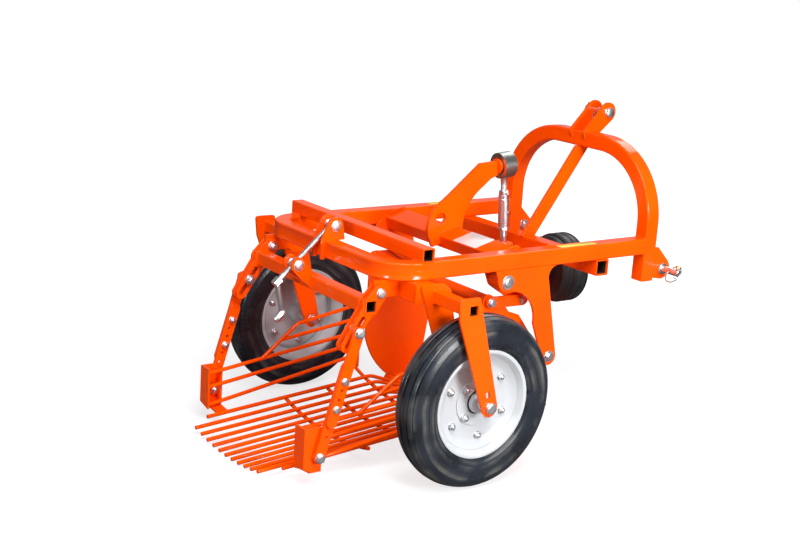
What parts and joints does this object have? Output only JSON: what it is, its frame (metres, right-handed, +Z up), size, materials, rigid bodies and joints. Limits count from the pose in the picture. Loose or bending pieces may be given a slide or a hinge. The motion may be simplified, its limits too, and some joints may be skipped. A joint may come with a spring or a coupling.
{
  "type": "potato digger",
  "caption": "Orange single-row vibrating potato digger for a small tractor's category 1 three-point hitch, with a shaking finger sieve and two wheels.",
  "frame": {"origin": "middle of the overall length and width, on the ground under the tyres", "axes": "+X is the direction of travel, towards the hitch; +Y is the machine's left; +Z is up"},
  "size_m": [1.3955, 1.118, 1.007],
  "materials": {
    "orange_paint": "gloss",
    "zinc_plate": "satin",
    "machined_steel": "satin",
    "white_paint": "gloss",
    "tyre_rubber": "matte",
    "black_plastic": "satin"
  },
  "bodies": {
    "frame": {"main_frame": "orange_paint", "tool_bar": "orange_paint", "front_cross_tube": "orange_paint", "lower_cross_tube": "orange_paint", "hitch_arch": "orange_paint", "mast_ears": "orange_paint", "mast_pin": "zinc_plate", "mast_brace": "orange_paint", "hitch_lugs": "orange_paint", "hitch_pins": "zinc_plate", "side_plates": "orange_paint", "pivot_bolts": "zinc_plate", "rear_brackets": "orange_paint", "yoke_bolts": "zinc_plate", "wheel_forks": "orange_paint", "wheel_axles": "zinc_plate", "shaft_bearings": "orange_paint", "pto_guard": "black_plastic", "screw_ears": "orange_paint"},
    "wheel_right": {"tyre_r": "tyre_rubber", "rim_r": "white_paint"},
    "wheel_left": {"tyre_l": "tyre_rubber", "rim_l": "white_paint"},
    "pto": {"pto_shaft": "machined_steel", "eccentric": "machined_steel"},
    "rocker": {"rocker_beam": "orange_paint", "rocker_plates": "orange_paint", "rocker_lever": "orange_paint", "arm_pins": "zinc_plate"},
    "connecting_rod": {"conrod_ring": "zinc_plate", "conrod_rods": "zinc_plate", "conrod_sleeve": "zinc_plate", "conrod_big_end": "orange_paint"},
    "links": {"drive_links": "orange_paint"},
    "digging_body": {"body_plates": "orange_paint", "share": "orange_paint", "body_tube": "orange_paint", "body_link_pins": "zinc_plate"},
    "hinge_shaft": {"sieve_shaft": "zinc_plate"},
    "sieve_tray": {"sieve_sleeve": "orange_paint", "sieve_fingers": "orange_paint", "sieve_cross_bars": "orange_paint", "side_guards": "orange_paint", "tail_brackets": "orange_paint", "tail_pins": "zinc_plate"},
    "yoke_frame": {"yoke": "orange_paint"},
    "hanger_pivots": {"hanger_pins": "zinc_plate"},
    "hangers": {"hanger_lower": "orange_paint", "hanger_upper": "orange_paint", "hanger_bolts": "zinc_plate"},
    "screw": {"crank_screw": "zinc_plate", "clevis_nut": "zinc_plate"},
    "screw_trunnion": {"trunnion": "zinc_plate"}
  },
  "joints": [
    {"name": "wheel_right_turn", "type": "hinge", "parent": "frame", "child": "wheel_right", "pos_m": [-0.1785, -0.4765, 0.2515], "axis": [0, 1, 0], "continuous": true},
    {"name": "wheel_left_turn", "type": "hinge", "parent": "frame", "child": "wheel_left", "pos_m": [-0.1785, 0.4765, 0.2515], "axis": [0, 1, 0], "continuous": true},
    {"name": "pto_turn", "type": "hinge", "parent": "frame", "child": "pto", "pos_m": [0.395, 0, 0.455], "axis": [1, 0, 0], "continuous": true},
    {"name": "rocker_swing", "type": "hinge", "parent": "frame", "child": "rocker", "pos_m": [0.021, 0, 0.54], "axis": [0, 1, 0], "range_deg": [-1.4, 1.4]},
    {"name": "connecting_rod_swing", "type": "hinge", "parent": "rocker", "child": "connecting_rod", "pos_m": [0.267, 0, 0.813], "axis": [0, 1, 0], "range_deg": [-0.382, 0.382]},
    {"name": "link_swing", "type": "hinge", "parent": "rocker", "child": "links", "pos_m": [0.123, 0, 0.466], "axis": [0, 1, 0], "range_deg": [-1.25, 1.25]},
    {"name": "digging_body_swing", "type": "hinge", "parent": "frame", "child": "digging_body", "pos_m": [0.207, 0, 0.291], "axis": [0, 1, 0], "range_deg": [-0.63, 0.63]},
    {"name": "hinge_shaft_turn", "type": "hinge", "parent": "digging_body", "child": "hinge_shaft", "pos_m": [0.08, 0, 0.043], "axis": [0, 1, 0], "range_deg": [-0.68, 0.68]},
    {"name": "yoke_lift", "type": "hinge", "parent": "frame", "child": "yoke_frame", "pos_m": [-0.401, 0, 0.541], "axis": [0, 1, 0], "range_deg": [-2, 18]},
    {"name": "sieve_tilt", "type": "hinge", "parent": "hinge_shaft", "child": "sieve_tray", "pos_m": [0.08, 0, 0.043], "axis": [0, 1, 0], "range_deg": [-0.24, 1.73]},
    {"name": "hanger_pivot_turn", "type": "hinge", "parent": "yoke_frame", "child": "hanger_pivots", "pos_m": [-0.475, 0, 0.44], "axis": [0, 1, 0], "range_deg": [-0.47, 0.47]},
    {"name": "hanger_swing", "type": "hinge", "parent": "hanger_pivots", "child": "hangers", "pos_m": [-0.475, 0, 0.44], "axis": [0, 1, 0], "range_deg": [-22.96, 2.6]},
    {"name": "screw_swing", "type": "hinge", "parent": "yoke_frame", "child": "screw", "pos_m": [-0.491, 0, 0.56], "axis": [0, 1, 0], "range_deg": [-12.36, 1.42]},
    {"name": "trunnion_turn", "type": "hinge", "parent": "frame", "child": "screw_trunnion", "pos_m": [-0.371, 0, 0.667], "axis": [0, 1, 0], "range_deg": [-0.68, 5.74]}
  ],
  "couplings": [
    {"joint": "connecting_rod_swing", "follows": "rocker_swing", "ratio": -0.23743},
    {"joint": "link_swing", "follows": "rocker_swing", "ratio": -0.85729},
    {"joint": "digging_body_swing", "follows": "rocker_swing", "ratio": -0.41333},
    {"joint": "hinge_shaft_turn", "follows": "rocker_swing", "ratio": 0.44612},
    {"joint": "hanger_pivot_turn", "follows": "rocker_swing", "ratio": -0.30013},
    {"joint": "sieve_tilt", "follows": "yoke_lift", "ratio": 0.09336},
    {"joint": "hanger_swing", "follows": "yoke_lift", "ratio": -1.2727},
    {"joint": "screw_swing", "follows": "yoke_lift", "ratio": -0.68389},
    {"joint": "trunnion_turn", "follows": "yoke_lift", "ratio": 0.31611}
  ]
}
